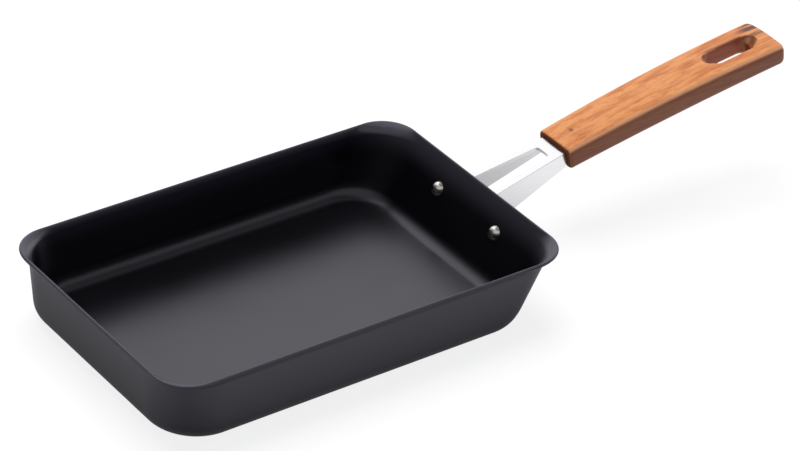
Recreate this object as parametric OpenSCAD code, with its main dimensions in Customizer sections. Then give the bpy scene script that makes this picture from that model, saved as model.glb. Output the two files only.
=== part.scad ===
// Rectangular rolled-omelette pan: a pressed sheet body with a flared rim, a folded steel
// bracket riveted to one end wall, and a bowed wooden grip screwed to the bracket's tang.
// Origin: middle of the pan's flat underside. X runs towards the handle, Z is up.

/* [Pan body] */
// Length over the rim, along the handle
pan_length = 180.4; // [140:0.1:240]
// Width over the rim
pan_width = 120; // [100:1:180]
// Height from the underside to the top of the rim
pan_height = 29.7; // [26:0.1:45]
// Thickness of the pressed sheet
sheet = 1.5; // [1.2:0.1:3]
// Outside radius between the floor and the walls
floor_round = 8.8; // [6:0.1:11]
// Lean of the long side walls from upright, in degrees
side_lean = 1.5; // [1:0.5:12]
// Lean of the end wall away from the handle, in degrees
front_lean = 4.8; // [1:0.1:20]
// Lean of the end wall that carries the handle, in degrees
handle_lean = 27.5; // [20:0.1:32]
// Outside corner radius at the foot of the walls, seen from above
foot_corner = 22; // [15:0.5:30]
// Outside corner radius at the rim's edge, seen from above
rim_corner = 15.5; // [12:0.1:28]

/* [Rim] */
// Radius of the outward curl below the rim's edge
flare_radius = 4; // [3:0.1:8]
// Lean of the sheet at the rim's edge, in degrees
flare_lean = 44; // [34:1:55]

/* [Rivets] */
// Distance between the two rivets, centre to centre
rivet_spacing = 37.4; // [34:0.1:44]
// Height of the rivets above the underside, on the wall's outer face
rivet_height = 17.3; // [16:0.1:19.5]
// Diameter of the rivet shanks
rivet_shank = 3.6; // [3:0.1:4.5]
// Diameter of the domed rivet heads
rivet_head = 6.4; // [5.4:0.1:8]
// Height of the domed head inside the pan
rivet_dome = 2.2; // [1:0.1:2.6]
// Height of the flatter set head behind the bracket's ear
rivet_set = 1.2; // [0.8:0.1:2]

/* [Handle bracket] */
// Thickness of the folded bracket sheet
bracket_sheet = 1.5; // [1.2:0.1:2]
// Tilt of the bracket up from level, in degrees
bracket_tilt = 11.7; // [8:0.1:14]
// Distance from the rim's edge to the grip, measured level
neck_reach = 35; // [32:0.1:50]
// Height of the bracket's upper face where it enters the grip
bracket_height = 34.9; // [34:0.1:36.4]
// Width of the bracket where it enters the grip
neck_width = 14.2; // [13:0.1:15]
// Taper of each bracket edge in plan, in degrees
neck_taper = 2.8; // [1.5:0.1:4]
// Depth of the side flanges where they enter the grip
flange_depth = 5.8; // [5:0.1:6]
// Fall of the flanges' lower edge away from the upper face, in degrees
flange_fall = 8.9; // [6:0.1:10]
// Outward lean of the flanges, in degrees
flange_lean = 7; // [3:0.5:9]
// Half width of the air window at its closed end
window_half = 3.9; // [3:0.1:4.5]
// Distance from the grip to the closed end of the air window
window_margin = 5.7; // [4:0.1:8]
// Spread of each long edge of the window, in degrees
window_spread = 4.6; // [3:0.1:5]
// Corner radius at the closed end of the window
window_corner = 1.4; // [0.5:0.1:2]
// Width of each riveted ear beyond the rivet's centre
ear_margin = 6.5; // [5:0.1:8]
// Reach of each ear above and below the rivet's centre, along the wall
ear_half = 7; // [5:0.1:7.4]
// Corner radius of the ears
ear_corner = 3; // [1.5:0.1:4.5]

/* [Tang] */
// Depth that the folded end sits in the grip
socket_depth = 4; // [3:0.5:6]
// Length of the flat tang inside the grip
tang_length = 58; // [52:1:66]
// Width of the tang
tang_width = 9; // [7:0.5:11]
// Distance from the tang's far end to the rear screw
screw_margin = 10; // [7:1:11]
// Distance between the two screws, centre to centre
screw_spacing = 30; // [20:1:32]

/* [Grip] */
// Length of the grip along its bow
grip_length = 108.4; // [104:0.1:130]
// Width of the grip at the bracket
grip_front_width = 20.5; // [19.5:0.1:24]
// Width of the grip at its far end
grip_end_width = 24.9; // [23:0.1:30]
// Thickness of the grip at the bracket
grip_front_thick = 9.2; // [8.8:0.1:11]
// Thickness of the grip half way along
grip_middle_thick = 9.7; // [9.2:0.1:13]
// Thickness of the grip at its far end
grip_end_thick = 8.4; // [7.5:0.1:12]
// Tilt of the grip's first stretch up from level, in degrees
grip_tilt = 12.2; // [11:0.1:15]
// Angle through which the grip bows down along its length, in degrees
grip_bend = 5.3; // [2:0.1:12]
// Height of the grip's middle above the middle of the bracket's folded end
grip_lift = 0.3; // [0:0.1:0.6]
// Height that the upper and lower faces swell across the width
grip_crown = 0.4; // [0.2:0.1:1]
// Radius of the grip's long edges
grip_edge = 2.4; // [1.5:0.1:3]
// Corner radius of the grip's far end, seen from above
grip_end_round = 3; // [3:0.5:9]
// Depth of the rounding round the front face
grip_front_round = 1; // [0.5:0.1:1.4]

/* [Hanging slot] */
// Width of the slot
slot_width = 9.1; // [6:0.1:9.6]
// Length of the slot
slot_length = 21; // [15:0.5:26]
// Radius of the slot's corners
slot_corner = 2.6; // [1.5:0.1:2.8]
// Distance from the grip's far end to the middle of the slot
slot_inset = 19.5; // [18:0.5:26]
// Height of the bevel round the slot's upper edge, which is as wide as it is high
slot_upper_bevel = 0.8; // [0.5:0.1:1.4]
// Height of the bevel round the slot's lower edge
slot_lower_bevel = 1.9; // [1:0.1:2.3]
// How much narrower than the slot the scoop at each of its ends is
scoop_draw_in = 0.5; // [0.3:0.1:1.5]
// Tilt of the scoops, in degrees
scoop_tilt = 35; // [25:1:40]
// Depth below the upper face from which the scoops rise
scoop_depth = 3.4; // [2.6:0.1:3.8]

/* [Screws] */
// Diameter of the screw shanks
screw_shank = 2.8; // [2:0.1:3.2]
// Diameter of the countersunk screw heads
screw_head = 5.4; // [4.5:0.1:6]
// Height of the countersunk cone
screw_cone = 1.5; // [1:0.1:1.8]
// Length of the screws from head to tip
screw_length = 7; // [6:0.1:7.6]
// Depth of the screw heads below the grip's surface
screw_sink = 0.4; // [0.2:0.1:0.8]
// Width of the arms of the cross recess
cross_arm = 0.7; // [0.4:0.1:0.9]
// Depth of the cross recess
cross_depth = 0.9; // [0.5:0.1:1.2]

/* [Clearances] */
// Gap round the tang, the folded end and the screws in the wood
wood_gap = 0.1; // [0.05:0.05:0.3]
// Gap round the rivet shanks
rivet_gap = 0.05; // [0.02:0.01:0.15]
// Gap between the wall's flare and the upper end of the bracket's rails
rail_gap = 0.5; // [0.4:0.1:1]

/* [Hidden] */
$fn = 64;
// Steps of each curved stretch in the two lofted shells
corner_steps = 12;
arc_steps = 9;
wall_steps = 2;
flare_steps = 6;
edge_steps = 6;
crown_steps = 6;
bow_steps = 20;
round_steps = 6;
// Longer than anything that it cuts through
past = 60;
overlap = 0.01;

// Pressed sheet section, for one wall's lean. The layer is 0 outside and the sheet's thickness inside.
curl_z = pan_height - (flare_radius + sheet) * sin(flare_lean);
function foot_reach(lean, layer) = (floor_round - layer) * cos(lean);
function foot_z(lean, layer) = floor_round - (floor_round - layer) * sin(lean);
function curl_reach(lean) = foot_reach(lean, 0) + flare_radius * cos(lean)
    + tan(lean) * (curl_z + flare_radius * sin(lean) - foot_z(lean, 0));
function curl_start_z(lean, layer) = curl_z + (flare_radius + layer) * sin(lean);
function top_z(layer) = curl_z + (flare_radius + layer) * sin(flare_lean);
// Distance of the sheet, at height z, outwards from where the wall's foot curve begins
function reach(z, lean, layer) =
    z < foot_z(lean, layer)
        ? sqrt(max(0, pow(floor_round - layer, 2) - pow(floor_round - z, 2)))
    : z < curl_start_z(lean, layer)
        ? foot_reach(lean, layer) + tan(lean) * (z - foot_z(lean, layer))
    : curl_reach(lean) - sqrt(pow(flare_radius + layer, 2) - pow(z - curl_z, 2));
// Place of a wall: half the size over the rim, less the rim's own reach
function wall_at(half, z, lean, layer) = half - reach(top_z(0), lean, 0) + reach(z, lean, layer);
// Corner radius at height z: one radius up the wall, drawing in across the flare to the rim's
function corner_at(z, layer) =
    let (now = reach(z, side_lean, layer), foot = foot_reach(side_lean, layer),
         low = reach(curl_start_z(side_lean, layer), side_lean, layer),
         top = reach(top_z(layer), side_lean, layer))
    foot_corner - layer + min(0, now - foot) + (rim_corner - foot_corner) * max(0, (now - low) / (top - low));
function pan_ring(z, layer) =
    let (r = corner_at(z, layer), y = wall_at(pan_width / 2, z, side_lean, layer))
    [for (quarter = [0:3], i = [0:corner_steps])
        let (towards_handle = quarter == 0 || quarter == 3,
             x = wall_at(pan_length / 2, z, towards_handle ? handle_lean : front_lean, layer),
             a = 90 * quarter + 90 * i / corner_steps)
        [(towards_handle ? 1 : -1) * (x - r) + r * cos(a),
         (quarter < 2 ? 1 : -1) * (y - r) + r * sin(a), z]];
function pan_levels(layer) =
    let (wall_low = foot_z(side_lean, layer), wall_high = curl_start_z(side_lean, layer))
    concat(
        [for (i = [0:arc_steps]) floor_round - (floor_round - layer) * cos((90 - side_lean) * i / arc_steps)],
        [for (i = [1:wall_steps]) wall_low + (wall_high - wall_low) * i / wall_steps],
        [for (i = [1:flare_steps]) curl_z
            + (flare_radius + layer) * sin(side_lean + (flare_lean - side_lean) * i / flare_steps)]);

// Closed solid over a stack of rings with the same number of points each
module lofted(rings) {
    count = len(rings[0]);
    last = len(rings) - 1;
    points = [for (ring = rings, p = ring) p];
    sides = [for (i = [0:last - 1], j = [0:count - 1], half = [0, 1])
        let (a = i * count + j, b = i * count + (j + 1) % count)
        half == 0 ? [a, a + count, b + count] : [a, b + count, b]];
    near_cap = [for (j = [0:count - 1]) j];
    far_cap = [for (j = [count - 1:-1:0]) last * count + j];
    polyhedron(points = points, faces = concat(sides, [near_cap, far_cap]), convexity = 8);
}

// Wall frame: at the rivets' height on the handle wall's outer face, X along the wall's outward normal
rivet_wall_x = wall_at(pan_length / 2, rivet_height, handle_lean, 0);
module wall_frame() {
    translate([rivet_wall_x, 0, rivet_height]) rotate([0, handle_lean, 0]) children();
}
module each_rivet() {
    for (side = [-1, 1]) translate([0, side * rivet_spacing / 2, 0]) children();
}

// Bracket frame: at the grip's front face on the bracket's upper face, X up along the bracket
grip_x = pan_length / 2 + neck_reach;
module bracket_frame() {
    translate([grip_x, 0, bracket_height]) rotate([0, -bracket_tilt, 0]) children();
}
rail_length = neck_reach + pan_length / 4;
tang_z = -(flange_depth + bracket_sheet) / 2;
screw_rear_x = tang_length - screw_margin;
screw_front_x = screw_rear_x - screw_spacing;

// Bow of the grip, in the bracket frame
bow_radius = grip_length / (grip_bend * PI / 180);
kick = grip_tilt - bracket_tilt;
grip_z = grip_lift - flange_depth / 2;
function bow_angle(s) = kick - grip_bend * s / grip_length;
function bow_x(s) = bow_radius * (sin(kick) - sin(bow_angle(s)));
function bow_z(s) = grip_z + bow_radius * (cos(bow_angle(s)) - cos(kick));
// Thickness along the bow: a parabola through the three thicknesses
function grip_thick(s) =
    let (u = s / grip_length)
    grip_front_thick * (1 - u) * (1 - 2 * u) + 4 * grip_middle_thick * u * (1 - u)
        + grip_end_thick * u * (2 * u - 1);
function grip_width(s) = grip_front_width + (grip_end_width - grip_front_width) * s / grip_length;
// How far the outline draws in at a distance from a rounded end
function draw_in(distance, r) = distance >= r ? 0 : r - sqrt(r * r - pow(r - distance, 2));
function grip_ring(s) =
    let (in_end = draw_in(grip_length - s, grip_end_round), in_front = draw_in(s, grip_front_round),
         half_w = grip_width(s) / 2 - in_end - in_front,
         half_t = grip_thick(s) / 2 - in_front - in_end * grip_edge / grip_end_round / 2,
         r = min(grip_edge, half_t * 0.9))
    [for (quarter = [0:3], i = [0:edge_steps + crown_steps - 1])
        let (a = 90 * quarter + 90 * min(i, edge_steps) / edge_steps,
             across = quarter % 2 == 0 && i > edge_steps ? (i - edge_steps) / crown_steps : 0,
             right = quarter == 0 || quarter == 3,
             y = ((right ? 1 : -1) * (half_w - r) + r * cos(a)) * (1 - 2 * across),
             edge_z = (quarter < 2 ? 1 : -1) * (half_t - r) + r * sin(a),
             z = edge_z + (quarter < 2 ? 1 : -1) * grip_crown * max(0, 1 - pow(y / (half_w - r), 2)))
        if (quarter % 2 == 0 || i <= edge_steps)
        [bow_x(s) - sin(bow_angle(s)) * z, y, bow_z(s) + cos(bow_angle(s)) * z]];
grip_stations = concat(
    [for (i = [0:round_steps - 1]) grip_front_round * (1 - cos(90 * i / round_steps))],
    [for (i = [0:bow_steps - 1])
        grip_front_round + (grip_length - grip_front_round - grip_end_round) * i / bow_steps],
    [for (i = [0:round_steps]) grip_length - grip_end_round * (1 - sin(90 * i / round_steps))]);

// Screw frame: on the grip's underside, Z up into the wood and square to the tang
function bow_at(x) = (kick - asin(sin(kick) - x / bow_radius)) / grip_bend * grip_length;
function underside_z(x) =
    let (s = bow_at(x))
    bow_z(s) - (grip_thick(s) / 2 + grip_crown) / cos(bow_angle(s));
module screw_frame(x) {
    translate([x, 0, underside_z(x) + screw_sink]) children();
}

module dome(width, height) {
    ball = (pow(width / 2, 2) + height * height) / (2 * height);
    intersection() {
        translate([0, 0, height - ball]) sphere(ball);
        translate([-width, -width, 0]) cube([2 * width, 2 * width, 2 * height]);
    }
}

module pan_body() {
    outer = pan_levels(0);
    inner = pan_levels(sheet);
    top = len(inner) - 1;
    rings = concat([for (z = outer) pan_ring(z, 0)], [for (i = [top:-1:0]) pan_ring(inner[i], sheet)]);
    color([0.3, 0.3, 0.32]) difference() {
        lofted(rings);
        wall_frame() each_rivet() rotate([0, 90, 0])
            cylinder(d = rivet_shank + 2 * rivet_gap, h = 4 * sheet, center = true);
    }
}

// One side flange, with its outer face on the bracket's edge
module flange() {
    depth_far = flange_depth + rail_length * tan(flange_fall);
    translate([0, neck_width / 2, 0]) rotate([0, 0, -neck_taper]) rotate([flange_lean, 0, 0])
        rotate([90, 0, 0]) linear_extrude(bracket_sheet)
            polygon([[socket_depth, 0], [-rail_length, 0], [-rail_length, -depth_far],
                     [0, -flange_depth], [socket_depth, -flange_depth]]);
}

// Upper web with the air window, which runs out at the pan
module web() {
    half_near = neck_width / 2 - socket_depth * tan(neck_taper);
    half_far = neck_width / 2 + rail_length * tan(neck_taper);
    open_far = window_half + (rail_length - window_margin) * tan(window_spread);
    corner_x = -window_margin - window_corner;
    translate([0, 0, -bracket_sheet]) linear_extrude(bracket_sheet) difference() {
        polygon([[socket_depth, -half_near], [socket_depth, half_near],
                 [-rail_length, half_far], [-rail_length, -half_far]]);
        polygon([[corner_x, -window_half], [corner_x, window_half],
                 [-rail_length - past, open_far + past * tan(window_spread)],
                 [-rail_length - past, -open_far - past * tan(window_spread)]]);
        translate([corner_x - overlap, -window_half + window_corner])
            square([window_corner + overlap, 2 * (window_half - window_corner)]);
        for (side = [-1, 1]) translate([corner_x, side * (window_half - window_corner)])
            circle(window_corner);
    }
}

// Ear flat on the pan's wall, from inside the flange to past the rivet
module ear() {
    inner_y = neck_width / 2 + neck_reach * tan(neck_taper) - bracket_sheet / 2;
    outer_y = rivet_spacing / 2 + ear_margin;
    rotate([90, 0, 90]) linear_extrude(bracket_sheet) {
        translate([inner_y, -ear_half]) square([outer_y - ear_corner - inner_y, 2 * ear_half]);
        translate([inner_y, -ear_half + ear_corner]) square([outer_y - inner_y, 2 * (ear_half - ear_corner)]);
        for (side = [-1, 1]) translate([outer_y - ear_corner, side * (ear_half - ear_corner)])
            circle(ear_corner);
    }
}

module tang() {
    step_back = socket_depth - bracket_sheet;
    translate([step_back, -tang_width / 2, tang_z - bracket_sheet / 2])
        cube([bracket_sheet, tang_width, -tang_z + bracket_sheet / 2]);
    translate([step_back, -tang_width / 2, tang_z - bracket_sheet / 2])
        cube([tang_length - step_back, tang_width, bracket_sheet]);
}

module handle_bracket() {
    color([0.82, 0.83, 0.85]) {
        difference() {
            union() {
                bracket_frame() {
                    web();
                    flange();
                    mirror([0, 1, 0]) flange();
                    tang();
                }
                wall_frame() {
                    ear();
                    mirror([0, 1, 0]) ear();
                }
            }
            // What would run into the pan's wall
            wall_frame() translate([-past, -past, -past]) cube([past, 2 * past, 2 * past]);
            wall_frame() translate([-past, -past, ear_half]) cube([past + rail_gap, 2 * past, past]);
            wall_frame() each_rivet() rotate([0, 90, 0])
                cylinder(d = rivet_shank + 2 * rivet_gap, h = 4 * bracket_sheet, center = true);
            bracket_frame() for (x = [screw_front_x, screw_rear_x]) translate([x, 0, tang_z - bracket_sheet])
                cylinder(d = screw_shank + 2 * wood_gap, h = 2 * bracket_sheet);
        }
    }
}

module rivet(side) {
    color([0.8, 0.8, 0.78]) wall_frame() translate([0, side * rivet_spacing / 2, 0]) {
        rotate([0, -90, 0]) translate([0, 0, sheet]) dome(rivet_head, rivet_dome);
        rotate([0, 90, 0]) translate([0, 0, bracket_sheet]) dome(rivet_head, rivet_set);
        rotate([0, 90, 0]) translate([0, 0, -sheet - overlap])
            cylinder(d = rivet_shank, h = sheet + bracket_sheet + 2 * overlap);
    }
}
module rivet_left() { rivet(1); }
module rivet_right() { rivet(-1); }

// Screw standing on its head at the origin, widened by gap for the hole that it leaves, with a
// round way in of the given depth below the head
module screw_form(gap, way_in) {
    head = screw_head / 2 + gap;
    shank = screw_shank / 2 + gap;
    tip_start = screw_length - screw_shank / 2;
    rotate_extrude() polygon(concat(
        [[0, -way_in], [head, -way_in]],
        way_in > 0 ? [[head, 0]] : [],
        [[shank, screw_cone], [shank, tip_start], [screw_shank / 8 + gap, screw_length + gap],
         [0, screw_length + gap]]));
}
module screw(x) {
    arm = screw_head * 0.6;
    color([0.75, 0.75, 0.76]) bracket_frame() screw_frame(x) difference() {
        screw_form(0, 0);
        for (turn = [0, 90]) rotate(turn) translate([-arm / 2, -cross_arm / 2, -overlap])
            cube([arm, cross_arm, cross_depth + overlap]);
    }
}
module screw_front() { screw(screw_front_x); }
module screw_rear() { screw(screw_rear_x); }

slot_corner_x = slot_length / 2 - slot_corner;
slot_corner_y = slot_width / 2 - slot_corner;
// Bevel round one edge of the slot, widening upwards from z = 0 to past the grip's face
module slot_bevel(height) {
    rise = height + grip_crown;
    for (x = [-1, 1], y = [-1, 1]) translate([x * slot_corner_x, y * slot_corner_y, 0])
        cylinder(r1 = slot_corner, r2 = slot_corner + rise, h = rise);
    rotate([90, 0, 90]) linear_extrude(2 * slot_corner_x, center = true)
        slot_bevel_section(slot_width / 2, rise);
    rotate([90, 0, 0]) linear_extrude(2 * slot_corner_y, center = true)
        slot_bevel_section(slot_length / 2, rise);
}
module slot_bevel_section(half, rise) {
    polygon([[-half, 0], [half, 0], [half + rise, rise], [-half - rise, rise]]);
}
// Through slot with rounded corners, in a frame on the bow at the slot's middle
module slot_cut() {
    between = slot_length - slot_width;
    scoop_width = slot_width - scoop_draw_in;
    face_z = grip_thick(grip_length - slot_inset) / 2 + grip_crown;
    linear_extrude(2 * past / 3, center = true) {
        square([2 * slot_corner_x, slot_width], center = true);
        square([slot_length, 2 * slot_corner_y], center = true);
        for (x = [-1, 1], y = [-1, 1]) translate([x * slot_corner_x, y * slot_corner_y])
            circle(r = slot_corner);
    }
    translate([0, 0, face_z - slot_upper_bevel]) slot_bevel(slot_upper_bevel);
    mirror([0, 0, 1]) translate([0, 0, face_z - slot_lower_bevel]) slot_bevel(slot_lower_bevel);
    for (end = [-1, 1]) translate([end * between / 2, 0, face_z - scoop_depth])
        rotate([0, end * scoop_tilt, 0]) cylinder(d = scoop_width, h = grip_middle_thick);
}

module grip() {
    slot_s = grip_length - slot_inset;
    socket_half = neck_width / 2 + flange_depth * tan(flange_lean) + wood_gap;
    color([0.82, 0.55, 0.36]) bracket_frame() difference() {
        lofted([for (s = grip_stations) grip_ring(s)]);
        // Socket for the folded end of the bracket, then the tang's slot
        translate([-past, -socket_half, -flange_depth - wood_gap])
            cube([past + socket_depth + wood_gap, 2 * socket_half, flange_depth + 2 * wood_gap]);
        translate([0, -tang_width / 2 - wood_gap, tang_z - bracket_sheet / 2 - wood_gap])
            cube([tang_length + wood_gap, tang_width + 2 * wood_gap, bracket_sheet + 2 * wood_gap]);
        for (x = [screw_front_x, screw_rear_x]) screw_frame(x) screw_form(wood_gap, past);
        translate([bow_x(slot_s), 0, bow_z(slot_s)]) rotate([0, -bow_angle(slot_s), 0]) slot_cut();
    }
}

pan_body();
handle_bracket();
rivet_left();
rivet_right();
grip();
screw_front();
screw_rear();
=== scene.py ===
"""Rectangular rolled-omelette pan: its dressed pieces, floor, lamp and camera.

Sizes in the classes are millimetres and degrees, in the frame of the part's source: the origin is
the middle of the pan's flat underside, X runs towards the handle and Z is up. Every finished mesh,
and every place and size in a material, is in metres.
"""

import logging
import math
from dataclasses import dataclass
from enum import Enum
from typing import Any, Iterable, Iterator, Sequence

import bmesh
import bpy
from mathutils import Matrix, Vector


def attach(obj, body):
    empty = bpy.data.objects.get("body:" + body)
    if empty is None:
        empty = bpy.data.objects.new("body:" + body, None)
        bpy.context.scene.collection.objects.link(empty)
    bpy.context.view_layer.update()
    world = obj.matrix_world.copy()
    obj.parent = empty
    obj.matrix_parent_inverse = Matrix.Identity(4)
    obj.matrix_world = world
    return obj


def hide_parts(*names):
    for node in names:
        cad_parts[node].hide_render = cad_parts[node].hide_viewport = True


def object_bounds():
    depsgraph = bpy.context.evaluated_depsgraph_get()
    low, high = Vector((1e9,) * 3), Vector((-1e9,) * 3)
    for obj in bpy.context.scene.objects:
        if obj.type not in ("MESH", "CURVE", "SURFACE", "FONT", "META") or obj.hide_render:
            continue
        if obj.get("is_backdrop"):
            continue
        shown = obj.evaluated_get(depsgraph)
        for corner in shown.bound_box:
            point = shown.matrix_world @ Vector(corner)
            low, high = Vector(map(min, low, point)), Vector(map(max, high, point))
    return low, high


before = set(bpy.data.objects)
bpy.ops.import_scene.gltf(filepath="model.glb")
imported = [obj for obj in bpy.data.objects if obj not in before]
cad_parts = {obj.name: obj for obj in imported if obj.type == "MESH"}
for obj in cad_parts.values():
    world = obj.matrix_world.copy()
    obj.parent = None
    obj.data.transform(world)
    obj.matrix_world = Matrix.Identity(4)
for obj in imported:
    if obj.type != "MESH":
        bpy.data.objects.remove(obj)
cad_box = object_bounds()

log = logging.getLogger("rolled_omelette_pan")

MM = 0.001
TINY = 1e-9
OVERCUT = 20.0  # How far a cutter reaches past the surface that it cuts.
WHITE = "ffffff"
BODY = "root"

Pair = tuple[float, float]
Triple = tuple[float, float, float]
Point = Triple
Colour = tuple[float, float, float, float]
Profile = list[Pair]
Grains = tuple[tuple[str, Point, float], ...]
Range = tuple[str, float, float]
Mesh = bmesh.types.BMesh
Object = bpy.types.Object
Tree = bpy.types.NodeTree
Socket = bpy.types.NodeSocket


class Side(Enum):
    """The two sides of the handle, seen from the pan."""

    LEFT = 1
    RIGHT = -1


class Face(Enum):
    """The upper and the lower face of the grip."""

    UPPER = 1
    LOWER = -1


class PanFinish(Enum):
    """The pan's finishes, by their place in its list of materials."""

    COATING = 0
    PAINT = 1
    # The rim's edge, painted mid grey: a painted highlight.
    RIM_HIGHLIGHT = 2


class Ramp(Enum):
    """How a mask rises between its two edges."""

    STRAIGHT = "LINEAR"
    SOFT = "SMOOTHSTEP"


def sin_d(angle: float) -> float:
    """Return the sine of an angle in degrees."""
    return math.sin(math.radians(angle))


def cos_d(angle: float) -> float:
    """Return the cosine of an angle in degrees."""
    return math.cos(math.radians(angle))


def tan_d(angle: float) -> float:
    """Return the tangent of an angle in degrees."""
    return math.tan(math.radians(angle))


def frame_at(x: float, z: float, turn: float) -> Matrix:
    """Return the frame at a place in the pan's long middle plane, turned about Y by degrees."""
    return Matrix.Translation(Vector((x, 0, z)) * MM) @ Matrix.Rotation(math.radians(turn), 4, "Y")


def spread(low: float, high: float, count: int, first: int = 0) -> list[float]:
    """Return equal steps from low to high, from step number first to the last, number count."""
    return [low + (high - low) * i / count for i in range(first, count + 1)]


def draw_in(distance: float, radius: float) -> float:
    """Return how far an outline draws in near a rounded end.

    Args:
        distance: How far the place is from the end.
        radius: Radius of the rounding.

    Returns:
        The distance from the unrounded outline, 0 away from the end.
    """
    if distance >= radius:
        return 0.0
    return radius - math.sqrt(radius * radius - (radius - distance) ** 2)


def linear(code: str) -> Colour:
    """Turn an sRGB hex colour into the linear one that Blender's sockets take.

    Args:
        code: Six hex digits, red first.

    Returns:
        The colour, opaque.
    """
    channels = [int(code[i : i + 2], 16) / 255 for i in (0, 2, 4)]
    curved = [c / 12.92 if c <= 0.04045 else ((c + 0.055) / 1.055) ** 2.4 for c in channels]
    return (curved[0], curved[1], curved[2], 1.0)


def feed(tree: Tree, node: Any, inputs: dict[Any, Any]) -> None:
    """Set or link a node's inputs.

    Args:
        tree: The node's tree.
        node: The node.
        inputs: A value or an output socket to link, by the input's name or number.
    """
    for name, value in inputs.items():
        if isinstance(value, bpy.types.NodeSocket):
            tree.links.new(value, node.inputs[name])
        else:
            node.inputs[name].default_value = value


def add(
    tree: Tree, kind: str, inputs: dict[Any, Any] | None = None,
    stops: Sequence[tuple[float, Colour]] = (), **settings: Any,
) -> Any:
    """Add one node to a tree.

    Args:
        tree: The tree that gets the node.
        kind: Blender's name for the node's type.
        inputs: A value or an output socket to link, by the input's name or number.
        stops: Place from 0 to 1 and colour of a ramp's two ends.
        **settings: Properties of the node.

    Returns:
        The node.
    """
    node = tree.nodes.new(kind)
    for name, value in settings.items():
        setattr(node, name, value)
    for element, (place, colour) in zip(node.color_ramp.elements if stops else (), stops):
        element.position, element.color = place, colour
    feed(tree, node, inputs or {})
    return node


def rays(tree: Tree) -> dict[str, Socket]:
    """Tell what the camera sees, and what is seen in a reflection or through glass.

    Args:
        tree: The tree of a material or of the world.

    Returns:
        The sockets "camera" and "mirrored", which are 1 for such rays.
    """
    path = add(tree, "ShaderNodeLightPath").outputs
    mirrored = add(tree, "ShaderNodeMath", {
        0: path["Is Glossy Ray"], 1: path["Is Transmission Ray"],
    }, operation="MAXIMUM")
    return {"camera": path["Is Camera Ray"], "mirrored": mirrored.outputs[0]}


def new_object(name: str, mesh: Mesh) -> Object:
    """Make a scene object of a mesh and free the mesh.

    Args:
        name: The piece's name.
        mesh: Its geometry, in metres.

    Returns:
        The object, at the origin and unturned.
    """
    data = bpy.data.meshes.new(name)
    mesh.to_mesh(data)
    mesh.free()
    obj = bpy.data.objects.new(name, data)
    bpy.context.scene.collection.objects.link(obj)
    return obj


def settle(obj: Object) -> None:
    """Turn an object's modifiers into plain mesh.

    Args:
        obj: The object, which keeps its name.
    """
    graph = bpy.context.evaluated_depsgraph_get()
    graph.update()
    baked = bpy.data.meshes.new_from_object(obj.evaluated_get(graph))
    obj.modifiers.clear()
    old = obj.data
    obj.data = baked
    bpy.data.meshes.remove(old)
    baked.name = obj.name


def cutter(mesh: Mesh, place: Matrix) -> Object:
    """Make a shape to cut with.

    Args:
        mesh: The closed shape, in metres.
        place: The frame that it stands in.

    Returns:
        The shape's object.
    """
    bmesh.ops.transform(mesh, verts=mesh.verts, matrix=place)
    return new_object("cutter", mesh)


def carve(obj: Object, cutters: Iterable[Object]) -> None:
    """Cut closed shapes out of an object.

    Args:
        obj: The object that is cut.
        cutters: The shapes, which are removed afterwards.
    """
    for shape in cutters:
        cut = obj.modifiers.new("cut", "BOOLEAN")
        cut.operation, cut.solver, cut.object = "DIFFERENCE", "EXACT", shape
        settle(obj)
        bpy.data.meshes.remove(shape.data)


def smooth(obj: Object, sharp_from: float) -> Object:
    """Shade an object smoothly, with its sharper edges kept.

    Args:
        obj: The object.
        sharp_from: Angle between two faces from which their edge stays sharp.

    Returns:
        The same object.
    """
    obj.data.shade_smooth()
    obj.data.set_sharp_from_angle(angle=math.radians(sharp_from))
    return obj


def loft(mesh: Mesh, rings: Sequence[Sequence[Any]]) -> None:
    """Join closed rings of the same number of vertices, which may meet in a pole, with faces.

    Args:
        mesh: The mesh that gets the faces.
        rings: Vertices ring by ring.
    """
    for low, high in zip(rings, rings[1:]):
        for j in range(len(low)):
            k = (j + 1) % len(low)
            corners = list(dict.fromkeys((low[j], low[k], high[k], high[j])))
            if len(corners) > 2:
                mesh.faces.new(corners)


def lathe(profile: Profile, sides: int) -> Mesh:
    """Turn a profile round the Z axis.

    Args:
        profile: Radius and height of each point in millimetres, from one pole to the other.
        sides: Number of steps round the axis.

    Returns:
        A closed mesh in metres.
    """
    mesh = bmesh.new()
    rings = []
    for radius, z in profile:
        angles = [2 * math.pi * j / sides for j in range(sides)]
        places = [(radius * math.cos(a) * MM, radius * math.sin(a) * MM, z * MM) for a in angles]
        if radius <= 0:
            rings.append([mesh.verts.new((0, 0, z * MM))] * sides)
        else:
            rings.append([mesh.verts.new(place) for place in places])
    loft(mesh, rings)
    bmesh.ops.recalc_face_normals(mesh, faces=mesh.faces)
    return mesh


def block(low: Point, high: Point) -> Mesh:
    """Make a block.

    Args:
        low: Its lowest corner in millimetres.
        high: Its highest corner.

    Returns:
        A closed mesh in metres.
    """
    mesh = bmesh.new()
    bmesh.ops.create_cube(mesh, size=1)
    middle = (Vector(low) + Vector(high)) / 2 * MM
    size = (Vector(high) - Vector(low)) * MM
    place = Matrix.Translation(middle) @ Matrix.Diagonal((*size, 1))
    bmesh.ops.transform(mesh, verts=mesh.verts, matrix=place)
    return mesh


def set_inputs(modifier: bpy.types.Modifier, values: dict[str, Any]) -> None:
    """Set a geometry tree's inputs by their sockets' identifiers.

    Args:
        modifier: The modifier that runs the tree.
        values: A value for each named input.
    """
    for item in modifier.node_group.interface.items_tree:
        if item.item_type == "SOCKET" and item.in_out == "INPUT" and item.name in values:
            modifier[item.identifier] = values[item.name]


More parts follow.
